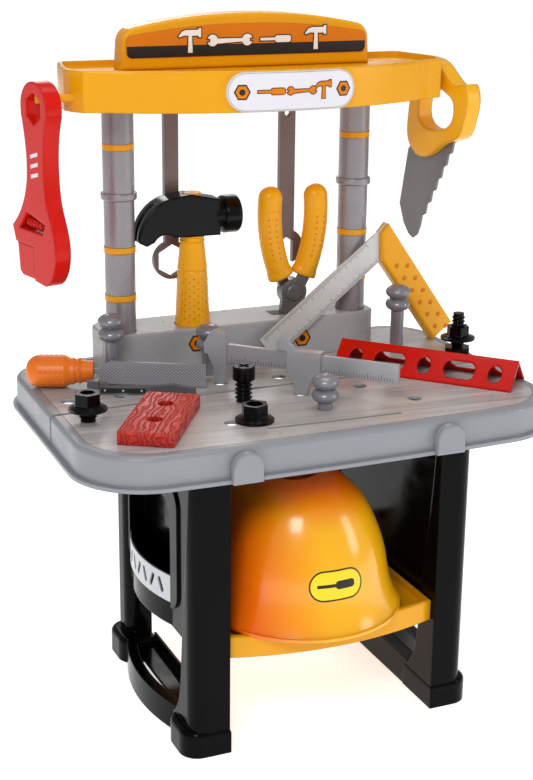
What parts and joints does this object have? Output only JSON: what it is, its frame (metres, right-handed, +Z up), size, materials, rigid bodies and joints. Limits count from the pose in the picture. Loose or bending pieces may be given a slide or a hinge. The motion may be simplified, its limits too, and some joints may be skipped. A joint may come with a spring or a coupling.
{
  "type": "toy tool bench",
  "caption": "Child's plastic tool bench: leg frames with side pockets, shelf with a hard hat, pegboard tabletop with loose tools, tool rack, and two posts under a crescent beam and sign.",
  "frame": {"origin": "centre of the bounding box's footprint, at floor level", "axes": "+Z up, -Y towards the child who stands at the bench, +X to the child's right"},
  "size_m": [0.523, 0.3685, 0.7115],
  "materials": {
    "bench_grey": "satin",
    "table_print": "satin",
    "leg_black": "gloss",
    "band_silver": "satin metallic",
    "bench_yellow": "gloss",
    "hat_yellow": "gloss",
    "label_print": "satin",
    "peg_grey": "gloss",
    "bolt_black": "gloss",
    "tool_yellow": "gloss",
    "tool_grey": "satin metallic",
    "rule_silver": "satin",
    "handle_orange": "gloss",
    "tool_red": "gloss"
  },
  "bodies": {
    "bench": {"tabletop": "bench_grey", "table_label_front": "table_print", "table_label_rear": "table_print", "table_clips": "bench_grey", "left_side_panel": "leg_black", "right_side_panel": "leg_black", "left_fret_band": "band_silver", "right_fret_band": "band_silver", "shelf": "bench_yellow", "tool_rack": "bench_grey", "left_post_lower": "bench_grey", "right_post_lower": "bench_grey", "left_post_upper": "bench_grey", "right_post_upper": "bench_grey", "left_post_rings": "bench_yellow", "right_post_rings": "bench_yellow", "beam": "bench_yellow", "sign_board": "bench_yellow", "sign_label": "label_print", "beam_plaque": "label_print"},
    "hard_hat": {"hard_hat": "hat_yellow"},
    "left_peg": {"left_peg": "peg_grey"},
    "middle_peg": {"middle_peg": "peg_grey"},
    "right_peg": {"right_peg": "peg_grey"},
    "front_peg": {"front_peg": "peg_grey"},
    "flanged_bolt": {"flanged_bolt": "bolt_black"},
    "cross_screw": {"cross_screw": "bolt_black"},
    "flange_nut": {"flange_nut": "bolt_black"},
    "stood_bolt": {"stood_bolt": "bolt_black"},
    "stood_bolt_nut": {"stood_bolt_nut": "bolt_black"},
    "hammer": {"hammer_handle": "tool_yellow", "hammer_head": "bolt_black"},
    "pliers_right_half": {"pliers_right_jaw": "tool_grey", "pliers_right_grip": "tool_yellow", "pliers_pivot": "tool_grey"},
    "pliers_left_half": {"pliers_left_jaw": "tool_grey", "pliers_left_grip": "tool_yellow"},
    "ring_spanner": {"ring_spanner": "tool_grey"},
    "open_spanner": {"open_spanner": "tool_grey"},
    "square": {"square_stock": "tool_yellow", "square_blade": "rule_silver"},
    "calliper": {"calliper_beam": "peg_grey"},
    "calliper_slider": {"calliper_slider": "peg_grey"},
    "file": {"file_handle": "handle_orange", "file_blade": "peg_grey"},
    "blade_holder": {"blade_holder": "tool_grey"},
    "plank": {"plank": "tool_red"},
    "angle_strip": {"angle_strip": "tool_red"},
    "wrench": {"wrench_body": "tool_red"},
    "wrench_jaw": {"wrench_jaw": "tool_red"},
    "wrench_worm": {"wrench_worm": "tool_red"},
    "saw": {"saw_handle": "tool_yellow", "saw_blade": "tool_grey"}
  },
  "joints": [
    {"name": "hat_slide", "type": "slide", "parent": "bench", "child": "hard_hat", "axis": [0, -0.9968, 0.0797], "range_m": [0, 0.2]},
    {"name": "left_peg_push", "type": "slide", "parent": "bench", "child": "left_peg", "axis": [0, 0, 1], "range_m": [-0.042, 0]},
    {"name": "middle_peg_push", "type": "slide", "parent": "bench", "child": "middle_peg", "axis": [0, 0, 1], "range_m": [-0.022, 0]},
    {"name": "right_peg_push", "type": "slide", "parent": "bench", "child": "right_peg", "axis": [0, 0, 1], "range_m": [-0.042, 0]},
    {"name": "front_peg_lift", "type": "slide", "parent": "bench", "child": "front_peg", "axis": [0, 0, 1], "range_m": [0, 0.02]},
    {"name": "flanged_bolt_lift", "type": "slide", "parent": "bench", "child": "flanged_bolt", "axis": [0, 0, 1], "range_m": [0, 0.018]},
    {"name": "cross_screw_lift", "type": "slide", "parent": "bench", "child": "cross_screw", "axis": [0, 0, 1], "range_m": [0, 0.018]},
    {"name": "flange_nut_lift", "type": "slide", "parent": "bench", "child": "flange_nut", "axis": [0, 0, 1], "range_m": [0, 0.03]},
    {"name": "stood_bolt_lift", "type": "slide", "parent": "bench", "child": "stood_bolt", "axis": [0, 0, 1], "range_m": [0, 0.03]},
    {"name": "stood_bolt_nut_turn", "type": "hinge", "parent": "stood_bolt", "child": "stood_bolt_nut", "pos_m": [0.238, 0.041, 0.357], "axis": [0, 0, 1], "continuous": true},
    {"name": "hammer_lift", "type": "slide", "parent": "bench", "child": "hammer", "axis": [0, 0, 1], "range_m": [0, 0.03]},
    {"name": "pliers_lift", "type": "slide", "parent": "bench", "child": "pliers_right_half", "axis": [0, 0, 1], "range_m": [0, 0.045]},
    {"name": "pliers_open", "type": "hinge", "parent": "pliers_right_half", "child": "pliers_left_half", "pos_m": [0.0676, 0.124, 0.4016], "axis": [0, -1, 0], "range_deg": [0, 8]},
    {"name": "ring_spanner_lift", "type": "slide", "parent": "bench", "child": "ring_spanner", "axis": [0, 0, 1], "range_m": [0, 0.03]},
    {"name": "open_spanner_lift", "type": "slide", "parent": "bench", "child": "open_spanner", "axis": [0, 0, 1], "range_m": [0, 0.03]},
    {"name": "square_lift", "type": "slide", "parent": "bench", "child": "square", "axis": [0, 0, 1], "range_m": [0, 0.04]},
    {"name": "calliper_lift", "type": "slide", "parent": "bench", "child": "calliper", "axis": [0, 0, 1], "range_m": [0, 0.03]},
    {"name": "calliper_slide", "type": "slide", "parent": "calliper", "child": "calliper_slider", "axis": [0.6997, -0.7145, 0], "range_m": [-0.05, 0.06]},
    {"name": "file_lift", "type": "slide", "parent": "bench", "child": "file", "axis": [0, 0, 1], "range_m": [0, 0.04]},
    {"name": "blade_holder_lift", "type": "slide", "parent": "bench", "child": "blade_holder", "axis": [0, 0, 1], "range_m": [0, 0.03]},
    {"name": "plank_lift", "type": "slide", "parent": "bench", "child": "plank", "axis": [0, 0, 1], "range_m": [0, 0.03]},
    {"name": "angle_strip_lift", "type": "slide", "parent": "bench", "child": "angle_strip", "axis": [0, 0, 1], "range_m": [0, 0.03]},
    {"name": "wrench_unhook", "type": "slide", "parent": "bench", "child": "wrench", "axis": [-0.9397, 0, 0.3419], "range_m": [0, 0.033]},
    {"name": "wrench_jaw_slide", "type": "slide", "parent": "wrench", "child": "wrench_jaw", "axis": [-0.225, 0.9744, 0], "range_m": [0, 0.013]},
    {"name": "wrench_worm_turn", "type": "hinge", "parent": "wrench", "child": "wrench_worm", "pos_m": [-0.23461, 0.07722, 0.509], "axis": [0.225, -0.9744, 0], "range_deg": [0, 720]},
    {"name": "saw_unhook", "type": "slide", "parent": "bench", "child": "saw", "axis": [0.9, 0, 0.436], "range_m": [0, 0.045]}
  ],
  "couplings": [
    {"joint": "wrench_worm_turn", "follows": "wrench_jaw_slide", "rad_per_m": 966.64}
  ]
}
